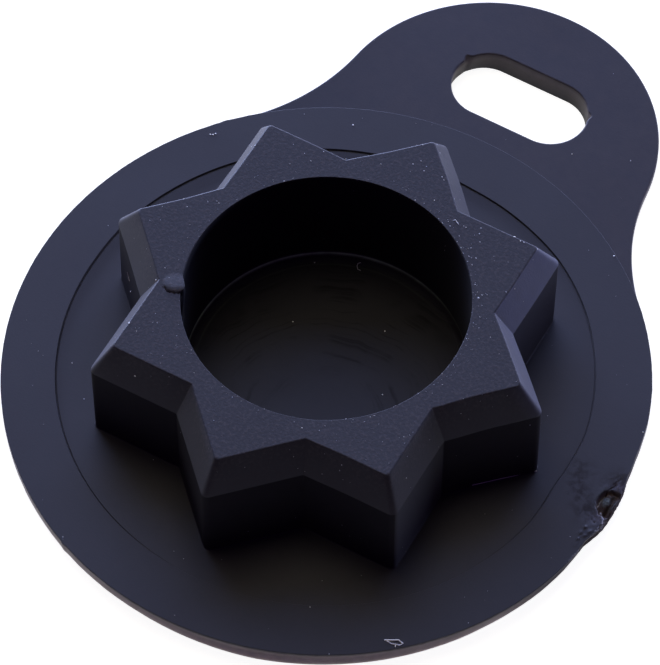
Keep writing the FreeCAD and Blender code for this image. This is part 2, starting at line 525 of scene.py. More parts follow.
def new_tree(name, inputs):
    """Node tree with a geometry input, named number inputs, a material and a geometry output."""
    tree = bpy.data.node_groups.new(name, "GeometryNodeTree")
    tree.interface.new_socket("Geometry", in_out="INPUT", socket_type="NodeSocketGeometry")
    for label in inputs:
        tree.interface.new_socket(label, in_out="INPUT", socket_type="NodeSocketFloat")
    tree.interface.new_socket("Material", in_out="INPUT", socket_type="NodeSocketMaterial")
    tree.interface.new_socket("Geometry", in_out="OUTPUT", socket_type="NodeSocketGeometry")
    return tree, add_node(tree, "NodeGroupInput")


def finish_tree(tree, geometry, material):
    """Ends a tree with Realize Instances and Set Material."""
    real = add_node(tree, "GeometryNodeRealizeInstances", geometry)
    paint = add_node(tree, "GeometryNodeSetMaterial", geometry=real.outputs[0], material=material)
    add_node(tree, "NodeGroupOutput", paint.outputs[0])


print("tree helpers ready")

# %% Build the tree
SECTORS = 16
SEAM_GAP = 1e-6
BODY_INPUTS = {
    "Flange Radius": FLANGE_R,
    "Tab Reach": TAB_REACH,
    "Tab Radius": TAB_R,
    "Hollow Radius": TAB_HOLLOW_R,
    "Star Turn": STAR_TURN,
    "Spokes Per Sector": 32,
    "Spoke Crowding": 0.6,
}


def body_tree():
    """Tree that bends a grid of spokes and section rows into the cap's body."""
    tree, entry = new_tree("moulded_body", BODY_INPUTS)
    size = {label: Formula(tree, entry.outputs[label]) for label in BODY_INPUTS}
    section = entry.outputs["Geometry"]
    counted = add_node(tree, "GeometryNodeAttributeDomainSize", section)
    row_count = Formula(tree, counted.outputs["Point Count"])
    spoke_count = size["Spokes Per Sector"] * SECTORS
    grid = add_node(tree, "GeometryNodeMeshGrid", vertices_x=spoke_count + 1, vertices_y=row_count)
    index = Formula(tree, add_node(tree, "GeometryNodeInputIndex").outputs[0])
    spoke = calc("FLOOR", (index + 0.5) / row_count)
    row = index - spoke * row_count

    def of_row(field):
        """A row value of the section, for each point of the grid."""
        named = add_node(tree, "GeometryNodeInputNamedAttribute", name=field).outputs["Attribute"]
        sample = add_node(tree, "GeometryNodeSampleIndex", geometry=section, value=named, index=row)
        return Formula(tree, sample.outputs[0])

    at = {field: of_row(field) for field in ROW_FIELDS}
    turns = spoke / size["Spokes Per Sector"]
    crowd = size["Spoke Crowding"] / math.tau * calc("SINE", turns * math.tau)
    angle = size["Star Turn"] + (turns - crowd) * (math.tau / SECTORS)
    plate_labels = ("Flange Radius", "Tab Reach", "Tab Radius", "Hollow Radius")
    plate = plate_reach(angle, at["inset"], *(size[label] for label in plate_labels))
    star = star_reach(angle, at["half"], size["Star Turn"], at["tip"])
    reach = at["radius"] * (1 - at["plate"] - at["star"]) + plate * at["plate"] + star * at["star"]
    reach = calc("MAXIMUM", reach, at["least"])
    across = reach * calc("COSINE", angle)
    along = reach * calc("SINE", angle)
    place = add_node(tree, "ShaderNodeCombineXYZ", across, along, at["height"])
    move = add_node(tree, "GeometryNodeSetPosition", geometry=grid.outputs["Mesh"], position=place.outputs[0])
    merge = add_node(tree, "GeometryNodeMergeByDistance", geometry=move.outputs[0], distance=SEAM_GAP)
    finish_tree(tree, merge.outputs[0], entry.outputs["Material"])
    return tree


body_nodes = body_tree()
print("body tree nodes", len(body_nodes.nodes))

# %% [markdown]
# ## Run the tree
# The section goes in as a bare line of points that carry the row values. Inputs are set by their
# identifiers before the object is first evaluated. The result is copied out as a plain mesh and the
# modifier is dropped.

# %% Section points in, moulded body out
rubber = bpy.data.materials.new("black_rubber_moulded")


def set_inputs(modifier, values):
    """Sets a node modifier's inputs by identifier, from values keyed by their labels."""
    for item in modifier.node_group.interface.items_tree:
        if item.item_type == "SOCKET" and item.in_out == "INPUT" and item.name in values:
            modifier[item.identifier] = values[item.name]


def plain_mesh(source, name):
    """The evaluated shape of an object, as a mesh of its own."""
    view = bpy.context.evaluated_depsgraph_get()
    mesh = bpy.data.meshes.new_from_object(source.evaluated_get(view))
    mesh.name = name
    return mesh


def store(mesh, name, values):
    """Keeps one number per point on a mesh."""
    mark = mesh.attributes.new(name, "FLOAT", "POINT")
    mark.data.foreach_set("value", np.asarray(values, dtype=np.float32))


section_mesh = bpy.data.meshes.new("section")
section_mesh.from_pydata([(row["radius"], 0, row["height"]) for row in rows], [], [])
for field in ROW_FIELDS:
    store(section_mesh, field, [row[field] for row in rows])
cap = bpy.data.objects.new("moulded_cap", section_mesh)
bpy.context.scene.collection.objects.link(cap)
grow = cap.modifiers.new("moulded_body", "NODES")
grow.node_group = body_nodes
set_inputs(grow, {**BODY_INPUTS, "Material": rubber})
body_mesh = plain_mesh(cap, "moulded_cap")
cap.modifiers.remove(grow)
cap.data = body_mesh
bpy.data.meshes.remove(section_mesh)
print("body", len(body_mesh.vertices), "vertices,", len(body_mesh.polygons), "faces")

# %% [markdown]
# ## Tools for pushing marks into the mesh
# Each mark is a small height field: round swellings, straight or bent furrows and a little roughness, added
# together. Working on all points at once as arrays keeps this quick. The arrays are in millimetres, because
# the marks are a fraction of a millimetre across, so the main sizes are kept in millimetres too.

# %% Points in and out
PLATE = PLATE_Z / MM
BAND = BAND_Z / MM
TOP = STAR_TOP_Z / MM
SHOULDER = (STAR_TOP_Z - BEVEL_H) / MM
BORE = BORE_R / MM
RIM = FLANGE_R / MM
ON_AXIS = 1e-6
CLOSE = 0.01


def read_points(mesh):
    """Positions of a mesh's points as an array, in millimetres."""
    flat = np.empty(len(mesh.vertices) * 3)
    mesh.vertices.foreach_get("co", flat)
    return flat.reshape(-1, 3) / MM


def write_points(mesh, points):
    """Puts an array of positions, in millimetres, back into a mesh."""
    mesh.vertices.foreach_set("co", (points * MM).ravel())
    mesh.update()


def push(piece, zone, change):
    """Changes the points of a piece that lie in a zone, and gives them back."""
    points = read_points(piece.data)
    inside = zone(points)
    points[inside] = change(points[inside])
    write_points(piece.data, points)
    return points[inside]


def polar(points):
    """Each point's distance from the axis and its angle from +X in degrees."""
    x, y = points[:, 0], points[:, 1]
    return np.hypot(x, y), np.degrees(np.arctan2(y, x))


def move_out(points, change):
    """Points moved along their radius, each by its own distance."""
    radius = np.maximum(polar(points)[0], ON_AXIS)
    moved = points.copy()
    moved[:, :2] *= (1 + change / radius)[:, None]
    return moved


print("plate, band and star top mm", round(PLATE, 2), round(BAND, 2), round(TOP, 2))

# %% Height field helpers


def swell(x, y, at, wide, tall):
    """Round swelling: one at its centre, fading to nothing."""
    return np.exp(-(((x - at[0]) / wide) ** 2) - ((y - at[1]) / tall) ** 2)


def furrow(x, y, route, half_width):
    """Line through a few places: one along the line, fading to nothing beside it."""
    nearest = np.full(x.shape, np.inf)
    for start, end in zip(route, route[1:]):
        run = np.subtract(end, start)
        along = np.clip(((x - start[0]) * run[0] + (y - start[1]) * run[1]) / (run @ run), 0, 1)
        gap = np.hypot(x - start[0] - along * run[0], y - start[1] - along * run[1])
        nearest = np.minimum(nearest, gap)
    return np.exp(-((nearest / half_width) ** 2))


def ease(low, high, value):
    """Smooth step from zero at low to one at high, whichever of them is larger."""
    share = np.clip((value - low) / (high - low), 0, 1)
    return share * share * (3 - 2 * share)


def within(value, low, high):
    """Which values lie between two limits."""
    return (value > low) & (value < high)


def fade(gap, width):
    """One at no gap, fading to nothing beyond the width."""
    return np.exp(-((gap / width) ** 2))


def blend(stops, value):
    """Amounts between stops, each a pair of a place and the amount there."""
    return np.interp(value, *zip(*stops))


def grain(points, size, shift=0.0):
    """Smooth random values between about -1 and 1, with lumps of the given size in millimetres."""
    return np.array([noise.noise(Vector(point) / size + Vector((shift, 0, 0))) for point in points])


print("height field helpers ready")

# %% [markdown]
# ## Finer mesh under the small marks
# The torn gate, the nib and the scuffed spot beside the gate are far smaller than the faces that carry
# them. One way is to model them apart and join them, but on the real cap they are the same rubber. So the
# faces under them are divided, and the marks are then pushed into that finer mesh.

# %% Divide the faces of a zone
GATE_CUTS = 2
GATE_FROM_X = 18.35
GATE_SPAN_Y = (-3.4, 2.7)
GATE_FROM_Z = 0.05
NIB_CUTS = 1
NIB_AT = np.array((-8.31, -3.73))
NIB_ZONE_R = 0.95
NIB_FROM_Z = 9.05
NIB_FINE_Z = 9.2


def at_gate(points):
    """Which points lie at the torn gate or on the rim beside it."""
    x, y, z = points.T
    return (x > GATE_FROM_X) & within(y, *GATE_SPAN_Y) & (z > GATE_FROM_Z)


def at_nib(points):
    """Which points lie at the nib or on the bore's wall just below it."""
    return (points[:, 2] > NIB_FROM_Z) & (polar(points[:, :2] - NIB_AT)[0] < NIB_ZONE_R)


def at_nib_top(points):
    """Which points lie at the nib itself."""
    return at_nib(points) & (points[:, 2] > NIB_FINE_Z)


def refine(mesh, zone, cuts):
    """Divides every edge whose two ends lie in a zone."""
    inside = zone(read_points(mesh))
    shape = bmesh.new()
    shape.from_mesh(mesh)
    chosen = [edge for edge in shape.edges if all(inside[vert.index] for vert in edge.verts)]
    bmesh.ops.subdivide_edges(shape, edges=chosen, cuts=cuts, use_grid_fill=True)
    shape.to_mesh(mesh)
    shape.free()


refine(cap.data, at_gate, GATE_CUTS)
refine(cap.data, at_nib_top, NIB_CUTS)
print("refined to", len(cap.data.vertices), "vertices")

# %% [markdown]
# ## Small errors of shape
# Rubber is pulled off its core while it is warm, so a moulding isn't exact. The star's points lean by a
# tenth of a millimetre or two, each its own way, and the step round the recess wanders inwards beside the
# gate and beside the tab. The groove at the step's foot is deep on the left and nearly gone at the front. A
# short list gives each point's lean by its angle, and others the step's shift and the groove's depth at a
# few angles.

# %% Lean the star's points
LEANS = {
    1: (-0.06, 0.12),
    46: (0.04, 0.0),
    91: (0.16, 0.0),
    136: (0.06, 0.06),
    181: (0.12, -0.05),
    316: (-0.02, 0.08),
}
LEAN_TURN = (22.5, 9.0)
LEAN_R = (9.0, 10.0)
LEAN_Z = (PLATE, 5.0)


def lean_points(points):
    """Moves each point of the star sideways, not at its foot and not at the bore."""
    radius, angle = polar(points)
    share = ease(*LEAN_R, radius) * ease(*LEAN_Z, points[:, 2])
    moved = points.copy()
    for tip, lean in LEANS.items():
        off = np.abs((angle - tip + 180) % 360 - 180)
        moved[:, :2] += np.outer(share * ease(*LEAN_TURN, off), lean)
    return moved


write_points(cap.data, lean_points(read_points(cap.data)))
print("leaning points", len(LEANS))

# %% Bend the step and level its groove
STEP_BESIDE_GATE = [(-40, 0), (-12, -0.25), (-1, -0.55), (7, -0.38), (14, -0.18), (45, 0)]
STEP_BESIDE_TAB = [(60, 0.02), (70, -0.10), (86, -0.22), (97, -0.15), (120, 0.08), (170, 0.08), (180, 0)]
STEP_INSIDE_R = (15.8, 16.4)
STEP_OUTSIDE_R = (17.6, 16.8)
STEP_FROM_Z = PLATE - 0.15
GROOVE_LEFT = [(-180, 0.8), (-112, 1.0), (-92, 0.1), (-28, 0.1)]
GROOVE_RIGHT = [(-8, 0.6), (40, 0.5), (70, 0.1), (140, 0.1), (180, 0.8)]


def bend_step(points):
    """Moves the step round the recess along its radius and makes its groove shallow at the front."""
    radius, angle = polar(points)
    share = ease(*STEP_INSIDE_R, radius) * ease(*STEP_OUTSIDE_R, radius) * (points[:, 2] > STEP_FROM_Z)
    depth = np.minimum(points[:, 2] - PLATE, 0) * (share > 0.5)
    moved = move_out(points, share * blend(STEP_BESIDE_GATE + STEP_BESIDE_TAB, angle))
    moved[:, 2] += depth * (blend(GROOVE_LEFT + GROOVE_RIGHT, angle) - 1)
    return moved


write_points(cap.data, bend_step(read_points(cap.data)))
shifts = [shift for _, shift in STEP_BESIDE_GATE + STEP_BESIDE_TAB]
print("step shifts mm", min(shifts), "to", max(shifts))

# %% [markdown]
# ## The torn gate
# Rubber flowed into the mould at one spot of the rim, and tearing off the sprue left a ragged hollow there:
# a steep lip with a dark crescent along it, a smooth dome with a pit beside it, a lobe and a lump that are
# torn less deeply, a bright ridge, fine tear lines, and crumbs along the edge. Sculpting by hand can't be
# written down, so every bump is one line of a short list with its place, its size and how far it rises or
# drops.

# %% Bumps of the gate
GATE_AT = (19.64, 0.32)
GATE_REACH = (0.92, 1.00)
GATE_LIP = (1.05, 0.82)
LIP_WAVER = 0.06
GATE_FLOOR = -0.60
FLOOR_GRAIN = 0.05
GATE_DOME = dict(at=(19.36, 0.42), wide=0.58, tall=0.66)
DOME_RISE = 0.50
DOME_FULLNESS = 0.6
GATE_MARGIN = dict(at=(19.93, 0.30), wide=0.13, tall=0.90)
MARGIN_RISE = 0.22
GATE_PIT = dict(route=[(19.56, 0.86), (19.66, 0.30), (19.60, -0.30)], half_width=0.12)
PIT_DROP = 0.24
GATE_RIDGE = [(19.36, -0.42), (19.62, -0.78), (19.80, -1.02), (19.89, -1.31)]
RIDGE_RISE = 0.16
RIDGE_WIDTH = 0.07
TORN_PATCHES = [
    dict(at=(19.56, 1.62), wide=0.52, tall=0.50),
    dict(at=(19.44, -0.82), wide=0.50, tall=0.40),
]
PATCH_DROP = 0.10
PATCH_TORN = 0.8
GATE_LINES = [
    dict(route=[(18.86, 0.10), (18.88, 0.45), (18.97, 0.88)], half_width=0.10, drop=0.26),
    dict(route=[(18.97, 0.88), (19.12, 1.32), (19.30, 1.72)], half_width=0.05, drop=0.08),
    dict(route=[(19.10, 1.62), (19.30, 1.92), (19.52, 2.24)], half_width=0.05, drop=0.05),
    dict(route=[(19.08, -1.10), (19.20, -1.21), (19.42, -1.28)], half_width=0.045, drop=0.07),
]
CRUMBS = [
    dict(at=(19.11, -1.88), wide=0.10, tall=0.10, rise=0.10),
    dict(at=(19.09, -2.35), wide=0.15, tall=0.12, rise=0.06),
    dict(at=(19.52, -2.43), wide=0.10, tall=0.09, rise=0.10),
    dict(at=(19.23, -2.84), wide=0.10, tall=0.10, rise=0.10),
    dict(at=(19.30, -3.18), wide=0.10, tall=0.10, rise=0.08),
    dict(at=(19.56, -2.05), wide=0.12, tall=0.14, rise=0.08),
]
HIGHEST_BUMP = 0.12
print("gate lines", len(GATE_LINES), "crumbs", len(CRUMBS))

# %% Tear the gate


def gate_heights(points):
    """How far the torn gate lifts or lowers each point of the band's top, and the share that is torn."""
    x, y = points[:, 0], points[:, 1]
    flat = points * (1, 1, 0)
    off = np.hypot((x - GATE_AT[0]) / GATE_REACH[0], (y - GATE_AT[1]) / GATE_REACH[1])
    hollow = ease(*GATE_LIP, off + LIP_WAVER * grain(flat, 0.45))
    ground = GATE_FLOOR + FLOOR_GRAIN * grain(flat, 0.16, 7.0) - PIT_DROP * furrow(x, y, **GATE_PIT)
    ground += DOME_RISE * swell(x, y, **GATE_DOME) ** DOME_FULLNESS
    ground += MARGIN_RISE * swell(x, y, **GATE_MARGIN)
    heights = hollow * ground + RIDGE_RISE * furrow(x, y, GATE_RIDGE, RIDGE_WIDTH)
    torn = hollow.copy()
    rough = 0.5 * grain(flat, 0.26, 2.0) + 0.3 * grain(flat, 0.13, 5.0)
    for patch in TORN_PATCHES:
        share = np.sqrt(swell(x, y, **patch))
        heights -= (1 - hollow) * share * PATCH_DROP * (1 - rough)
        torn = np.maximum(torn, PATCH_TORN * share)
    for line in GATE_LINES:
        heights -= line["drop"] * furrow(x, y, line["route"], line["half_width"])
    for crumb in CRUMBS:
        heights += crumb["rise"] * swell(x, y, crumb["at"], crumb["wide"], crumb["tall"])
    return np.minimum(heights, HIGHEST_BUMP), torn


def tear(points):
    """Points of the gate after tearing, which fades towards the underside."""
    moved = points.copy()
    moved[:, 2] += gate_heights(points)[0] * np.clip(points[:, 2] / BAND, 0, 1)
    return moved


gate_points = push(cap, at_gate, tear)
print("gate points", len(gate_points), "highest mm", round(float(gate_points[:, 2].max()), 2))

# %% [markdown]
# ## The trimmed rim
# The flash round the flange was cut off by hand. On both sides of the gate the knife took a shallow flat
# off the rim, at the front the rounded lower edge is fuller, and the cut left the edge slightly rough with
# a few burrs. A handful of angles and amounts describe that, and the values between them are interpolated.

# %% Trim the rim
BELOW_GATE = [(-36, 0), (-20, 0.06), (-12, 0.14), (-7.5, 0.22), (-5.2, 0.06), (-3, 0.02)]
ABOVE_GATE = [(5, 0.04), (7.5, 0.23), (12, 0.22), (20, 0.04), (26, 0)]
UNDERCUT = [(-36, 0), (-20, 0.05), (-12, 0.10), (-5, 0.10), (-3, 0)]
UNDERCUT_Z = (1.55, 1.25)
FULLER = [(-116, 0), (-94, 0.01), (-72, 0.19), (-50, 0.12), (-32, 0)]
RAGGED = [(-13, 0), (-9, 0.07), (6, 0.07), (8, 0)]
BURRS = [dict(angle=139.0, rise=0.05, spread=0.85), dict(angle=-111.6, rise=0.05, spread=0.5)]
RIM_R = (18.9, RIM - 0.3)
RIM_TO_Z = BAND + 0.3
ROUGH_R = (19.75, RIM)
ROUGH_DEPTH = 0.012
FINE_DEPTH = 0.010


def at_rim(points):
    """Which points lie on the rim or near it."""
    return (polar(points)[0] > RIM_R[0]) & (points[:, 2] < RIM_TO_Z)


def trim_rim(points):
    """Moves the rim's points in or out along their radius."""
    radius, angle = polar(points)
    outer = ease(*RIM_R, radius)
    low = np.clip(points[:, 2] / (LOWER_EDGE_R / MM), 0, 1)
    change = outer * (blend(FULLER, angle) * np.sin(math.pi * low) - blend(BELOW_GATE + ABOVE_GATE, angle))
    change -= outer * blend(UNDERCUT, angle) * ease(*UNDERCUT_Z, points[:, 2])
    rough = ROUGH_DEPTH * (grain(points, 0.35) - 1) + FINE_DEPTH * grain(points, 0.15, 3.0)
    rough -= blend(RAGGED, angle) * (1 + grain(points, 0.17, 11.0))
    for burr in BURRS:
        rough += burr["rise"] * fade(angle - burr["angle"], burr["spread"])
    change += ease(*ROUGH_R, radius) * rough
    on_flange = radius < RIM + CLOSE
    return move_out(points, change * on_flange)


rim_points = push(cap, at_rim, trim_rim)
print("rim points", len(rim_points))

# %% [markdown]
# ## The nib
# A vent in the mould left a small button at one notch of the star. Its far side runs into the top face. Its
# near side stands up beside a fine crack and hangs a little over the bore's edge. It is another height
# field: a flat-topped round that rises towards one side, with a furrow along that side.

# %% Raise the nib
NIB_R = 0.72
NIB_RISE = 0.12
NIB_BULGE = 0.42
NIB_NEAR_SIDE = np.array((0.50, -0.86))
NIB_EDGE_R = (BORE + 0.25, BORE)
NIB_Z = (TOP - 0.4, TOP - 0.1)
CRACK_DEPTH = 0.10
CRACK_AT = 1.04
CRACK_WIDTH = 0.05
CRACK_SIDE = (0.30, 0.70)
CRACK_WAVER = 0.14


def raise_nib(points):
    """Lifts the button, hangs its near side over the bore's edge and sinks the crack beside it."""
    offset = points[:, :2] - NIB_AT
    away = polar(offset)[0] / NIB_R
    towards = offset @ NIB_NEAR_SIDE / NIB_R
    button = np.clip(1 - away ** 4, 0, 1) * (0.5 + 0.5 * np.clip(towards, -1, 1))
    waver = CRACK_WAVER * grain(points, 0.22)
    crack = fade(away + waver - CRACK_AT, CRACK_WIDTH) * ease(*CRACK_SIDE, towards)
    moved = move_out(points, -NIB_BULGE * button * ease(*NIB_EDGE_R, polar(points)[0]))
    moved[:, 2] += (NIB_RISE * button - CRACK_DEPTH * crack) * ease(*NIB_Z, points[:, 2])
    return moved


nib_points = push(cap, at_nib, raise_nib)
print("nib top mm", round(float(nib_points[:, 2].max()), 2))

# %% [markdown]
# ## The slot
# The slot passes right through the tab, so no height field can make it. A closed cutter with round ends, a
# little draft and a flared mouth is taken away with a Boolean. Its left-hand end leans outwards towards the
# underside. Two nicks at its ends, where the mould's core chipped, are bulges of the cutter's own outline.

# %% Cutter for the slot
SLOT_WIDTH = 4.9 * MM
SLOT_LENGTH = 9.3 * MM
SLOT_DRAFT = 0.1 * MM
SLOT_X = 0.18 * MM
SLOT_Y = mounts["tie_slot"]["pos_m"][1]
SLOT_LEAN = 0.55 * MM
SLOT_EDGE_R = 0.1 * MM
SLOT_END_STEPS = 48
SLOT_NICKS = [Vector((-4.18, 25.35)) * MM, Vector((4.71, 25.25)) * MM]
NICK_DEPTH = 0.30 * MM
NICK_R = 0.20 * MM
NICK_BELOW = 0.3


def slot_ring(grow_by, height, nicked=1.0, lean=0.0):
    """The slot's outline at a height, widened by grow_by and with its left-hand end moved out by lean."""
    run = (SLOT_LENGTH - SLOT_WIDTH) / 2
    ring = []
    for side in (1, -1):
        for step in range(SLOT_END_STEPS + 1):
            tilt = math.pi * (step / SLOT_END_STEPS - 0.5)
            way = Vector((math.cos(tilt), math.sin(tilt))) * side
            centre = Vector((SLOT_X + side * run - lean * (side < 0), SLOT_Y))
            edge = centre + way * (SLOT_WIDTH / 2)
            nick = sum(math.exp(-(((edge - place).length / NICK_R) ** 2)) for place in SLOT_NICKS)
            point = edge + way * (grow_by + NICK_DEPTH * nicked * nick)
            ring.append((point.x, point.y, height))
    return ring


def slot_cutter():
    """Closed cutter with draft in its wall and a flare at its top edge."""
    rings = [
        slot_ring(-SLOT_DRAFT * 1.5, -PLATE_Z / 2, 0, SLOT_LEAN),
        slot_ring(0, PLATE_Z - 4 * SLOT_EDGE_R, NICK_BELOW),
    ]
    for tilt in quarter(EDGE_STEPS):
        flare = SLOT_EDGE_R * (1 - math.cos(tilt))
        drop = SLOT_EDGE_R * (1 - math.sin(tilt))
        rings.append(slot_ring(flare, PLATE_Z - drop))
    rings.append(slot_ring(SLOT_EDGE_R, PLATE_Z * 1.5))
    shape = bmesh.new()
    loops = [[shape.verts.new(point) for point in ring] for ring in rings]
    for lower, upper in zip(loops, loops[1:]):
        for k in range(len(lower)):
            shape.faces.new((lower[k - 1], lower[k], upper[k], upper[k - 1]))
    shape.faces.new(list(reversed(loops[0])))
    shape.faces.new(loops[-1])
    bmesh.ops.recalc_face_normals(shape, faces=shape.faces)
    mesh = bpy.data.meshes.new("slot_cutter")
    mesh.materials.append(rubber)
    shape.to_mesh(mesh)
    shape.free()
    cutter = bpy.data.objects.new("slot_cutter", mesh)
    bpy.context.scene.collection.objects.link(cutter)
    return cutter


cutter = slot_cutter()
print("cutter faces", len(cutter.data.polygons))

# %% Cut the slot through the tab


def cut(piece, tool):
    """Takes a tool's shape out of a piece and removes the tool."""
    difference = piece.modifiers.new("cut", "BOOLEAN")
    difference.operation = "DIFFERENCE"
    difference.solver = "EXACT"
    difference.object = tool
    mesh = plain_mesh(piece, piece.name)
    piece.modifiers.remove(difference)
    piece.data = mesh
    bpy.data.objects.remove(tool)


cut(cap, cutter)
print("with slot", len(cap.data.vertices), "vertices")

# %% [markdown]
# ## Smooth faces, crisp creases
# Moulded rubber is smooth between its edges. Smooth shading alone would smear light over the small rounds,
# so creases stay sharp, level faces stay flat, and large faces lead the shading beside them.

# %% Shade the cap
CREASE = math.radians(40)
LEVEL = 0.99999


def smooth(piece):
    """Shades a piece smooth, keeps its creases and lets flat faces lead beside small rounds."""
    piece.data.shade_smooth()
    piece.data.set_sharp_from_angle(angle=CREASE)
    for face in piece.data.polygons:
        face.use_smooth = face.normal.z < LEVEL
    weigh = piece.modifiers.new("flat_faces_lead", "WEIGHTED_NORMAL")
    weigh.keep_sharp = True
    piece.data = plain_mesh(piece, piece.name)
    piece.modifiers.remove(weigh)


smooth(cap)
print("triangles", sum(len(face.vertices) - 2 for face in cap.data.polygons))

# %% [markdown]
# ## Marks at the gate and on the rim
# The rubber isn't the same all over. A mark is a number stored on each point of the mesh, which the
# material reads later. Torn rubber at the gate is brown and rough, and pale flecks on its frayed ridge and
# crumbled edge are painted glints. Its dome and its two lobes are smooth, with painted light: teal-grey
# on the dome's lit side and grey on the lobes. The cut rim is lighter, most of all at the front and low
# down, partly as cut rubber and partly as painted light bounced up from the floor, and a streak beside
# the gate is scuffed dark.

# %% Mark the gate and the rim
GATE_MARK_X = 18
GATE_MARK_Y = (-4, 4)
GATE_MARK_TO_Z = 2.2
RIM_MARK_R = 18.7
RIM_MARK_Z = (PLATE + 0.05, PLATE - 0.15)
GATE_RIM_R = 19
TORN_R = (19.75, 19.9)
TORN_MIDDLE_Y = 0.2
TORN_HALF_Y = 1.4
RAGGED_R = (19.45, 19.65)
LIT_DOME_SPOT = dict(at=(19.50, 0.50), wide=0.58, tall=0.56)
DOME_Z = (0.5, 1.75)
LOBE_SIZE = 0.42
LOBE_Z = (1.2, 2.2)
FRAYED_WIDTH = 0.09
FRAYED_Z = (1.0, 2.2)
CRUMBLED = [(-14, 0), (-11, 0.5), (-5, 0.5), (-3.5, 0)]
CRUMBLED_R = 19.75
CRUMBLED_Z = 1.45
BESIDE_GATE = [(-30, 0), (-14, 1), (8, 1), (16, 0)]
CUT_SIDES = [(-160, 0.12), (-125, 1), (-20, 1), (-14, 0.4), (110, 0.3), (130, 0.12)]
CUT_LOW_Z = (1.25, 0.35)
CUT_AT_TOP = 0.45
SCUFF = dict(route=[(16.95, 1.5), (17.5, 0.3), (18.5, -0.8)], half_width=0.75)
SCUFF_Z = (BAND - 0.2, 2.0)

cap_points = read_points(cap.data)
x, y, z = cap_points.T
radius, angle = polar(cap_points)
near_gate = (x > GATE_MARK_X) & within(y, *GATE_MARK_Y) & (z < GATE_MARK_TO_Z)
torn = np.zeros(len(cap_points))
torn[near_gate] = gate_heights(cap_points[near_gate])[1]
on_rim = ease(*RIM_MARK_Z, z) * (z > 2 * CLOSE) * (radius > RIM_MARK_R)
by_gate = blend(BESIDE_GATE, angle) * (radius > GATE_RIM_R)
torn_edge = torn * ease(*TORN_R, radius) * (np.abs(y - TORN_MIDDLE_Y) < TORN_HALF_Y)
store(cap.data, "torn", np.maximum(torn_edge, by_gate * on_rim))
store(cap.data, "ragged", np.maximum(torn * ease(*RAGGED_R, radius), by_gate * on_rim))
# Painted light: a teal-grey on the dome's lit upper side, in place of its reflection.
store(cap.data, "hollow", swell(x, y, **LIT_DOME_SPOT) * within(z, *DOME_Z))
# Painted light: the torn lobe and lump made lighter where their slope leaves them in shade.
lobes = [swell(x, y, patch["at"], LOBE_SIZE, LOBE_SIZE) for patch in TORN_PATCHES]
store(cap.data, "lobes", np.maximum(*lobes) * within(z, *LOBE_Z))
# Painted highlights: pale flecks along the torn ridge and the crumbled edge stand for glints.
edge_crumbs = blend(CRUMBLED, angle) * (radius > CRUMBLED_R) * (z > CRUMBLED_Z)
frayed = np.maximum(furrow(x, y, GATE_RIDGE, FRAYED_WIDTH), edge_crumbs)
store(cap.data, "frayed", frayed * within(z, *FRAYED_Z))
# Cut rubber's paler tone plus painted light: the rim lighter low down and at the front, as bounce from the
# floor.
cut_side = blend(CUT_SIDES, angle) * (CUT_AT_TOP + (1 - CUT_AT_TOP) * ease(*CUT_LOW_Z, z))
store(cap.data, "cut_rim", on_rim * (1 - by_gate) * cut_side)
store(cap.data, "scuff", furrow(x, y, **SCUFF) * within(z, *SCUFF_Z))
print("torn points", int((torn > 0.5).sum()))

# %% [markdown]
# ## Marks on the star, the tab and the bore
# The star's top is coarser than the rest, and a bluish light is painted on the bevels of its right-hand
# tips. Painted shade darkens the star's walls towards their tops and blackens the bore's walls, and the tab
# is tinted darker and bluer. In the bore a painted highlight, a pale line, marks the lower corner where
# light reaches it, and painted shade makes its floor darker on the far side.

# %% Mark the star, the tab and the bore
LIT_BEVEL_TIPS = [(-2, 0.05), (2, 0.5), (22, 0.5), (25, 1), (45, 1), (47, 0.03)]
LIT_BEVEL_FROM_R = 9
BEVEL_Z = (TOP - 2.2, TOP - 2.0)
FLAT_TOP_Z = (TOP, TOP - 0.1)
TOP_Z = (TOP - 2.0, TOP - 0.3)
WALL_FROM_R = 9.5
WALL_FROM_Z = PLATE + 0.2
WALL_TO_Z = (SHOULDER + 0.05, SHOULDER - 0.1)
WALL_SHADE = 0.5
WALL_SHADE_Z = (2.5, 7.0)
BORE_WALL_Z = (1.7, TOP - 0.1)
BORE_FLOOR_Z = (0.5, 2.5)
TAB_FROM_R = 19.9
TAB_FROM_Y = 5
TAB_Z = (1.3, 1.68)
CORNER_R = 8.75
CORNER_Z = 1.66
CORNER_WIDTH = 0.09
CORNER_SHARE = 2.5
RING_WIDTH = 0.06
RING_SHARE = 0.06
LIT_FROM = (40, 110)
LIT_TO = (-150, -180)
FAR_SIDE = math.radians(120)
FAR_RUN = (-5, 5)
NEAR_FLOOR = 0.35
FLOOR_TO_Z = (1.5, 1.25)

inside_bore = radius < BORE + CLOSE
out_of_bore = (radius > BORE + CLOSE / 2) | (z > TOP - CLOSE)
store(cap.data, "star_top", ease(*TOP_Z, z) * out_of_bore)
on_bevel = ease(*BEVEL_Z, z) * ease(*FLAT_TOP_Z, z)
# Painted light: a bluish tint on the bevels of the right-hand tips, in place of light from the right.
store(cap.data, "bloom", on_bevel * blend(LIT_BEVEL_TIPS, angle) * (radius > LIT_BEVEL_FROM_R))
on_wall = (z > WALL_FROM_Z) * ease(*WALL_TO_Z, z) * (radius > WALL_FROM_R)
bore_wall = inside_bore & within(z, *BORE_WALL_Z)
# Painted shade: the star's walls darker towards their tops, and the bore's walls black.
store(cap.data, "shaded", np.maximum(WALL_SHADE * on_wall * ease(*WALL_SHADE_Z, z), bore_wall))
store(cap.data, "tab", (radius > TAB_FROM_R) & (y > TAB_FROM_Y) & within(z, *TAB_Z))
in_bore = inside_bore & within(z, *BORE_FLOOR_Z)
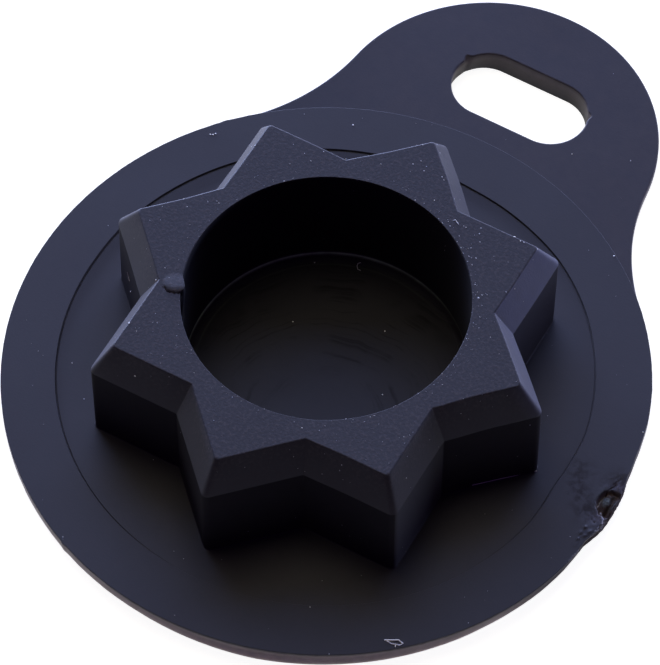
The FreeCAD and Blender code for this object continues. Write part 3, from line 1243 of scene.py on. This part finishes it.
# Painted highlight: a pale line along the bore's lower corner, on the side that light reaches.
corner_line = fade(np.hypot(radius - CORNER_R, z - CORNER_Z), CORNER_WIDTH)
ring_line = fade(radius - FLOOR_RING_R / MM, RING_WIDTH)
lit_side = np.clip(ease(*LIT_FROM, angle) + ease(*LIT_TO, angle), 0, 1)
store(cap.data, "bore_line", in_bore * lit_side * (CORNER_SHARE * corner_line + RING_SHARE * ring_line))
# Painted shade: the bore's floor darker towards its far side, and the floor's mask for its turning marks.
far_share = ease(*FAR_RUN, x * math.cos(FAR_SIDE) + y * math.sin(FAR_SIDE))
store(cap.data, "bore_floor", in_bore * ease(*FLOOR_TO_Z, z) * (NEAR_FLOOR + (1 - NEAR_FLOOR) * far_share))
print("points in the bore", int(in_bore.sum()))

# %% [markdown]
# ## How thickly dust lies
# Dust settles where nothing wipes it off: thinly everywhere that faces up, more on the star's top, and most
# of all along the bore's edge on the right. One more mark says how thickly.

# %% Mark the dust
DUST_FROM_Z = 1.45
DUSTY_TOP_Z = TOP - 0.2
DUST_EVERYWHERE = 0.008
DUST_ON_BEVEL = 0.03
DUST_ON_TOP = 0.06
DUST_BY_BORE = 1.5
BORE_DUST_WIDTH = 0.5
BORE_DUST_SIDES = [(-30, 0.3), (10, 1), (60, 1), (100, 0.3)]

by_bore = fade(radius - BORE, BORE_DUST_WIDTH) * blend(BORE_DUST_SIDES, angle)
on_top = (z > DUSTY_TOP_Z) * (radius > BORE)
dust = DUST_EVERYWHERE + DUST_ON_BEVEL * on_bevel + on_top * (DUST_ON_TOP + DUST_BY_BORE * by_bore)
store(cap.data, "dust", dust * (z > DUST_FROM_Z))
print("marks", [mark.name for mark in cap.data.attributes if mark.data_type == "FLOAT"])

# %% [markdown]
# ## Black rubber
# Carbon-filled rubber is nearly black and matt, with a faint blue sheen in the light. Its mould was
# blasted, so it has a fine grain, which is coarser and flecked on the star's top. The bore's floor keeps
# broken arcs, the turning marks of the core that formed it. An image could carry all this, but noise on the
# object's own coordinates has no seams and stays sharp, so helpers for noise and for mixing colours come
# first.

# %% Finish helpers


def mark_of(tree, name):
    """A mark stored on the mesh, as a formula."""
    return Formula(tree, add_node(tree, "ShaderNodeAttribute", attribute_name=name).outputs["Fac"])


def cloud(tree, place, lumps_per_m, detail):
    """Smooth noise between zero and one."""
    node = add_node(tree, "ShaderNodeTexNoise", vector=place, scale=lumps_per_m, detail=detail, roughness=0.6)
    return Formula(tree, node.outputs["Fac"])


def held(value):
    """The same value, kept between zero and one."""
    return calc("MINIMUM", calc("MAXIMUM", value, 0), 1)


def tint(tree, share, first, second):
    """Colour that goes from first to second with the share."""
    node = add_node(tree, "ShaderNodeMix", data_type="RGBA", factor=share)
    feed(tree, node.inputs[6], first)
    feed(tree, node.inputs[7], second)
    return Formula(tree, node.outputs[2])


TURNED_ABOUT = (1.5 * MM, -3.0 * MM, 0)
TURNED_FROM_R = 2.5 * MM
TURNED_PER_M = 900
TURNED_WAVER = 1.2 * MM


def turning_marks(tree, place):
    """Thin broken arcs about one centre, as a turning tool leaves them on a core."""
    away = add_node(tree, "ShaderNodeVectorMath", place, TURNED_ABOUT, operation="DISTANCE")
    reach = Formula(tree, away.outputs["Value"])
    across = (reach + TURNED_WAVER * cloud(tree, place, 300, 2)) * TURNED_PER_M
    rings = add_node(tree, "ShaderNodeTexNoise", noise_dimensions="1D", scale=1.0, detail=2.0, w=across)
    line = 1 - calc("ABSOLUTE", Formula(tree, rings.outputs["Fac"]) - 0.5) * 18
    broken = held((cloud(tree, place, 420, 2) - 0.46) * 6)
    return held(line) * broken * held((reach - TURNED_FROM_R) * 500)


print("finish helpers ready")

# %% Rubber finish
DEEP_BLACK = (0.0180, 0.0162, 0.0180, 1)
PALE_BLACK = (0.0290, 0.0260, 0.0290, 1)
SHADE_AND_SCRATCH_BLACK = (0.004, 0.0035, 0.004, 1)
TAB_BLUE = (0.004, 0.004, 0.011, 1)
TORN_BROWN = (0.042, 0.024, 0.016, 1)
CUT_RIM_BOUNCE_GREY = (0.96, 0.80, 0.71, 1)
FLECK_GREY = (0.130, 0.098, 0.098, 1)
GLINT_GREY = (0.30, 0.29, 0.31, 1)
BEVEL_LIGHT_BLUE = (0.080, 0.086, 0.150, 1)
DOME_LIGHT_TEAL = (0.096, 0.116, 0.116, 1)
LOBE_LIGHT_GREY = (0.096, 0.086, 0.110, 1)
CORNER_HIGHLIGHT_PALE = (0.60, 0.80, 0.50, 1)
BLUE_SHEEN = (0.78, 0.82, 1.0, 1)
RUBBER_IOR = 1.36
RUBBER_SHEEN = 0.05
SHEEN_ROUGHNESS = 0.4
GRAIN_HEIGHT = 0.014 * MM


def rubber_nodes(material):
    """Grainy, nearly black rubber with torn, cut, scuffed and frayed places, and painted light and shade."""
    tree, shader = nodes_of(material)
    place = Formula(tree, add_node(tree, "ShaderNodeTexCoord").outputs["Object"])
    fine = cloud(tree, place, 7000, 2)
    mottle = cloud(tree, place, 900, 4)
    broad = cloud(tree, place, 160, 3)
    marks = ("torn", "ragged", "hollow", "lobes", "frayed", "cut_rim", "star_top", "bloom", "shaded", "tab")
    share = {name: mark_of(tree, name) for name in marks + ("bore_line", "bore_floor")}
    scuffed = mark_of(tree, "scuff") * held(cloud(tree, place, 2400, 3) * 5 - 2.05)
    flecks = share["star_top"] * held(cloud(tree, place, 4600, 2) * 5 - 2.4)
    turned = turning_marks(tree, place) * held(share["bore_floor"] * 3)
    # Painted shade on the walls and in the bore, mixed with the real turning marks and a slight darkening of
    # the star's top.
    deep = 0.5 * share["bore_floor"] + 0.35 * turned + 0.75 * share["shaded"] + 0.2 * share["star_top"]
    layers = [
        (held(deep), SHADE_AND_SCRATCH_BLACK),
        (0.8 * share["tab"], TAB_BLUE),
        # Painted highlight along the bore's corner.
        (held(share["bore_line"] * (0.1 + 0.8 * mottle)), CORNER_HIGHLIGHT_PALE),
        # Cut rubber with painted floor bounce.
        (held(share["cut_rim"] * (0.5 + mottle)), CUT_RIM_BOUNCE_GREY),
        # Painted light on the gate's dome.
        (held(share["hollow"] * (0.7 + 0.6 * mottle)), DOME_LIGHT_TEAL),
        # Painted light on the lobes.
        (0.55 * share["lobes"], LOBE_LIGHT_GREY),
        (share["torn"] * fine * 1.6, TORN_BROWN),
        (flecks * 0.18, FLECK_GREY),
        # Painted light on the right-hand bevels.
        (share["bloom"] * (0.6 + 0.6 * mottle), BEVEL_LIGHT_BLUE),
        # Painted glints on the frayed ridge and edge.
        (held(share["frayed"] * (fine * 6 - 2.6)), GLINT_GREY),
    ]
    colour = tint(tree, mottle, DEEP_BLACK, PALE_BLACK)
    for amount, layer in layers:
        colour = tint(tree, amount, colour, layer)
    roughness = 0.50 + 0.08 * broad + 0.08 * mottle + 0.25 * scuffed + 0.1 * turned
    roughness = roughness + 0.1 * share["bore_floor"] + 0.45 * share["hollow"] + 0.35 * share["ragged"]
    roughness = roughness - 0.1 * share["cut_rim"] + 0.3 * share["shaded"] + 0.05 * share["tab"]
    height = fine * (0.5 + 0.8 * share["star_top"]) + 0.25 * flecks - 0.4 * scuffed - 0.2 * turned
    bump = add_node(tree, "ShaderNodeBump", strength=0.6, distance=GRAIN_HEIGHT, height=height)
    feed(tree, shader.inputs["Base Color"], colour)
    feed(tree, shader.inputs["Roughness"], roughness)
    feed(tree, shader.inputs["Normal"], bump.outputs[0])
    shader.inputs["IOR"].default_value = RUBBER_IOR
    shader.inputs["Specular Tint"].default_value = BLUE_SHEEN
    shader.inputs["Sheen Weight"].default_value = RUBBER_SHEEN
    shader.inputs["Sheen Roughness"].default_value = SHEEN_ROUGHNESS
    shader.inputs["Sheen Tint"].default_value = BLUE_SHEEN
    return shader


rubber_nodes(rubber)
print("rubber nodes", len(rubber.node_tree.nodes))

# %% [markdown]
# ## Dull walls
# The star's upright walls are hardly glossy: they slid along the mould when the part was pulled out. They
# take the same rubber with less gloss, which is one number on the shader. One wall, beside the front
# right-hand point, kept its shine.

# %% Dull the walls
SHINY_SECTOR = (316.5, 338.0)
WALL_R = (WALL_FROM_R, 15.5)
WALL_Z = (PLATE + 0.15, SHOULDER - 0.05)
DULL_GLOSS = 0.12
dull = bpy.data.materials.new("black_rubber_dull")
dull_shader = rubber_nodes(dull)
dull_shader.inputs["Specular IOR Level"].default_value = DULL_GLOSS
dull_shader.inputs["Sheen Weight"].default_value = 0.0
cap.data.materials.clear()
cap.data.materials.append(rubber)
cap.data.materials.append(dull)
centres = np.empty(len(cap.data.polygons) * 3)
cap.data.polygons.foreach_get("center", centres)
centres = centres.reshape(-1, 3) / MM
reach, turn = polar(centres)
is_wall = within(reach, *WALL_R) & within(centres[:, 2], *WALL_Z)
is_dull = is_wall & ~within(turn % 360, *SHINY_SECTOR)
cap.data.polygons.foreach_set("material_index", is_dull.astype(np.int32))
print("dull faces", int(is_dull.sum()))

# %% [markdown]
# ## Scattered dust
# Rubber holds dust by its static charge. Hundreds of pale grains lie on it, most of them on the star's top
# beside the bore. They follow one rule, so a node tree scatters them: it spreads points over the faces as
# thickly as the dust mark says, and puts a small flat grain of few faces on each, with its own size, turn
# and tone.

# %% Scatter the dust
DUST_INPUTS = {
    "Grains Per Square Metre": 7.0e6,
    "Smallest Grain": 0.012 * MM,
    "Largest Grain": 0.036 * MM,
    "Seed": 5,
}
GRAIN_FLATNESS = 0.5
GRAIN_FACES = 20
GRAIN_TONES = (0.1, 0.8)


def random_value(tree, kind, low, high, seed):
    """Random number or vector for each point, between two limits."""
    node = add_node(tree, "FunctionNodeRandomValue", data_type=kind, seed=seed)
    entries = [entry for entry in node.inputs if entry.enabled]
    feed(tree, entries[0], low)
    feed(tree, entries[1], high)
    return next(out for out in node.outputs if out.enabled)


def grain_size(tree, size):
    """Vector that flattens a grain of a size along its own upright."""
    return add_node(tree, "ShaderNodeCombineXYZ", size, size, size * GRAIN_FLATNESS).outputs[0]


def dust_tree():
    """Tree that strews flat grains over a mesh by its dust mark."""
    tree, entry = new_tree("strewn_dust", DUST_INPUTS)
    size = {label: Formula(tree, entry.outputs[label]) for label in DUST_INPUTS}
    mask = add_node(tree, "GeometryNodeInputNamedAttribute", name="dust")
    density = Formula(tree, mask.outputs["Attribute"]) * size["Grains Per Square Metre"]
    strew = add_node(
        tree,
        "GeometryNodeDistributePointsOnFaces",
        mesh=entry.outputs["Geometry"],
        density=density,
        seed=size["Seed"],
    )
    ball = add_node(tree, "GeometryNodeMeshIcoSphere", radius=1.0)
    small = grain_size(tree, size["Smallest Grain"])
    large = grain_size(tree, size["Largest Grain"])
    lay = add_node(
        tree,
        "GeometryNodeInstanceOnPoints",
        points=strew.outputs["Points"],
        instance=ball.outputs["Mesh"],
        rotation=strew.outputs["Rotation"],
        scale=random_value(tree, "FLOAT_VECTOR", small, large, size["Seed"] + 1),
    )
    keep = add_node(
        tree,
        "GeometryNodeStoreNamedAttribute",
        domain="INSTANCE",
        geometry=lay.outputs[0],
        name="tone",
        value=random_value(tree, "FLOAT", *GRAIN_TONES, size["Seed"] + 2),
    )
    finish_tree(tree, keep.outputs[0], entry.outputs["Material"])
    return tree


dust_paint = bpy.data.materials.new("pale_dust")
dust_specks = bpy.data.objects.new("dust_specks", cap.data.copy())
bpy.context.scene.collection.objects.link(dust_specks)
strew = dust_specks.modifiers.new("strewn_dust", "NODES")
strew.node_group = dust_tree()
set_inputs(strew, {**DUST_INPUTS, "Material": dust_paint})
dust_mesh = plain_mesh(dust_specks, "dust_specks")
dust_specks.modifiers.remove(strew)
dust_specks.data = dust_mesh
print("grains", len(dust_mesh.polygons) // GRAIN_FACES)

# %% [markdown]
# ## Specks that stand out
# Some specks and fibres are large enough to be told apart. Each is placed by where it is seen: a ray from
# the camera through that place of the picture finds the rubber that carries it, so it lies on the surface
# from every side. A speck is a small lump, flattened along the surface, and a fibre is a thin tube through
# a few such places.

# %% Specks and fibres by where they are seen
PICTURE_WIDTH = 660
PICTURE_HEIGHT = 665
STAR_SPECKS = [
    (476, 258), (480, 242), (381, 164), (421, 161), (208, 202), (219, 203), (413, 164), (424, 171),
    (444, 180), (346, 159), (311, 161), (284, 181), (440, 153), (459, 236), (450, 226), (471, 248),
    (480, 317), (481, 228), (482, 295), (506, 292), (165, 268), (302, 428), (454.3, 199), (442, 177),
    (415.3, 200.4), (434.4, 200.4), (466, 227.5), (479.3, 233.7), (468.9, 256.2), (514.8, 288.7),
    (475, 284.4),
]
# Painted highlights: pale specks along the star's far top edges, placed where the edges glint.
EDGE_GLINT_SPECKS = [
    (520.5, 241), (524, 242.3), (537.5, 249), (417, 145.5), (423, 145), (437, 144.6), (184, 198.5),
    (255, 145.5), (251.6, 146.8),
]
FLANGE_SPECKS = [(310, 607), (329, 654), (63, 537), (72, 363), (84, 399), (572, 154), (643, 432), (530, 425)]
BORE_SPECKS = [(314.6, 262.6), (292.9, 321.7), (384.9, 331.1), (382.5, 394.6), (346, 419)]
BRIGHT_SPECKS = [
    (156, 280), (514.5, 236.8), (478.5, 298), (353, 125), (614, 256), (135, 376), (130.6, 291.7),
    (129, 323), (210.4, 134.4), (213, 134.7), (215.6, 133.8),
]
SPECK_SIZES = [
    (STAR_SPECKS, 0.036, 0.95),
    (EDGE_GLINT_SPECKS, 0.045, 0.9),
    (FLANGE_SPECKS, 0.036, 0.7),
    (BORE_SPECKS, 0.045, 1.0),
    (BRIGHT_SPECKS, 0.068, 1.0),
]
FIBRES = [
    (0.018, 0.35, [(453.6, 220.6), (455.4, 219.9), (456.6, 221.6), (458.6, 224.4)]),
    (0.018, 0.35, [(127.7, 272), (128.6, 277), (129.6, 281)]),
    (0.018, 0.35, [(360.8, 262.6), (358.0, 263.4), (357.0, 266.2), (357.8, 269.4), (360.6, 270.6)]),
    (0.018, 0.40, [(472, 485), (500, 478.6), (537, 471)]),
    (0.045, 0.25, [(384.3, 640.4), (391, 640.6), (398.4, 640.4), (402.9, 643.9), (399.7, 645.6)]),
    (0.040, 0.22, [(386.8, 641.3), (391.3, 644.0), (395.7, 644.8), (399.7, 645.6)]),
    (0.035, 0.20, [(395.7, 644.8), (395.3, 647.3)]),
]
FIBRE_SIDES = 5
SPECK_ODDNESS = 0.45
SPECK_NARROWNESS = 0.8
cap_corners = [vert.co for vert in cap.data.vertices]
surface = BVHTree.FromPolygons(cap_corners, [face.vertices for face in cap.data.polygons])


def carried_at(place):
    """Point and normal of the rubber that is seen at a place of the picture, in pixels from its top left."""
    pixel = SENSOR_MM / LENS_MM / PICTURE_WIDTH
    across = (place[0] - PICTURE_WIDTH / 2) * pixel
    down = (place[1] - PICTURE_HEIGHT / 2) * pixel
    way = camera.rotation_euler.to_matrix() @ Vector((across, -down, -1))
    point, normal, _, _ = surface.ray_cast(camera.location, way.normalized())
    return point, normal


def add_speck(shape, tone_of, place, size, tone):
    """Adds one irregular flat lump."""
    point, normal = carried_at(place)
    turn = normal.to_track_quat("Z", "Y").to_matrix()
    lump = bmesh.ops.create_icosphere(shape, subdivisions=1, radius=size * MM)["verts"]
    for vert in lump:
        odd = 1 + SPECK_ODDNESS * noise.noise(Vector(place).to_3d() + vert.co / (size * MM))
        flat = (vert.co.x * odd, vert.co.y * odd * SPECK_NARROWNESS, vert.co.z * GRAIN_FLATNESS)
        vert.co = point + turn @ Vector(flat)
        vert[tone_of] = tone


def add_fibre(shape, tone_of, places, size, tone):
    """Adds a thin tube that lies on the rubber along a few places."""
    route = [point + normal * size * MM for point, normal in map(carried_at, places)]
    rings = []
    for before, here, after in zip(route[:1] + route, route, route[1:] + route[-1:]):
        along = (after - before).normalized()
        side = along.cross(Vector((0, 0, 1))).normalized()
        lift = side.cross(along)
        ring = []
        for k in range(FIBRE_SIDES):
            turn = math.tau * k / FIBRE_SIDES
            ring.append(shape.verts.new(here + (side * math.cos(turn) + lift * math.sin(turn)) * size * MM))
            ring[-1][tone_of] = tone
        rings.append(ring)
    for first, second in zip(rings, rings[1:]):
        for k in range(FIBRE_SIDES):
            shape.faces.new((first[k - 1], first[k], second[k], second[k - 1]))
    shape.faces.new(rings[0])
    shape.faces.new(list(reversed(rings[-1])))


shape = bmesh.new()
shape.from_mesh(dust_specks.data)
tone_of = shape.verts.layers.float["tone"]
for places, size, tone in SPECK_SIZES:
    for place in places:
        add_speck(shape, tone_of, place, size, tone)
for size, tone, places in FIBRES:
    add_fibre(shape, tone_of, places, size, tone)
bmesh.ops.recalc_face_normals(shape, faces=shape.faces)
shape.to_mesh(dust_specks.data)
shape.free()
print("dust faces", len(dust_specks.data.polygons))

# %% [markdown]
# ## Dust finish
# Skin, lint and mould powder are all pale and matt. The tone stored on each grain says how pale it is.

# %% Dust finish
DARK_DUST = (0.06, 0.06, 0.065, 1)
LIGHT_DUST = (0.85, 0.85, 0.88, 1)
DUST_ROUGHNESS = 0.9


def dust_nodes(material):
    """Matt powder whose paleness follows each grain's tone."""
    tree, shader = nodes_of(material)
    colour = tint(tree, mark_of(tree, "tone"), DARK_DUST, LIGHT_DUST)
    feed(tree, shader.inputs["Base Color"], colour)
    shader.inputs["Roughness"].default_value = DUST_ROUGHNESS


dust_nodes(dust_paint)
print("dust slots", [slot.name for slot in dust_specks.material_slots])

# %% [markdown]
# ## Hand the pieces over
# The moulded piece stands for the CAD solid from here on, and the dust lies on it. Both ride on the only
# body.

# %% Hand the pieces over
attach(cap, "root")
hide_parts("rubber_cap")
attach(dust_specks, "root")
print("pieces", cap.name, dust_specks.name)
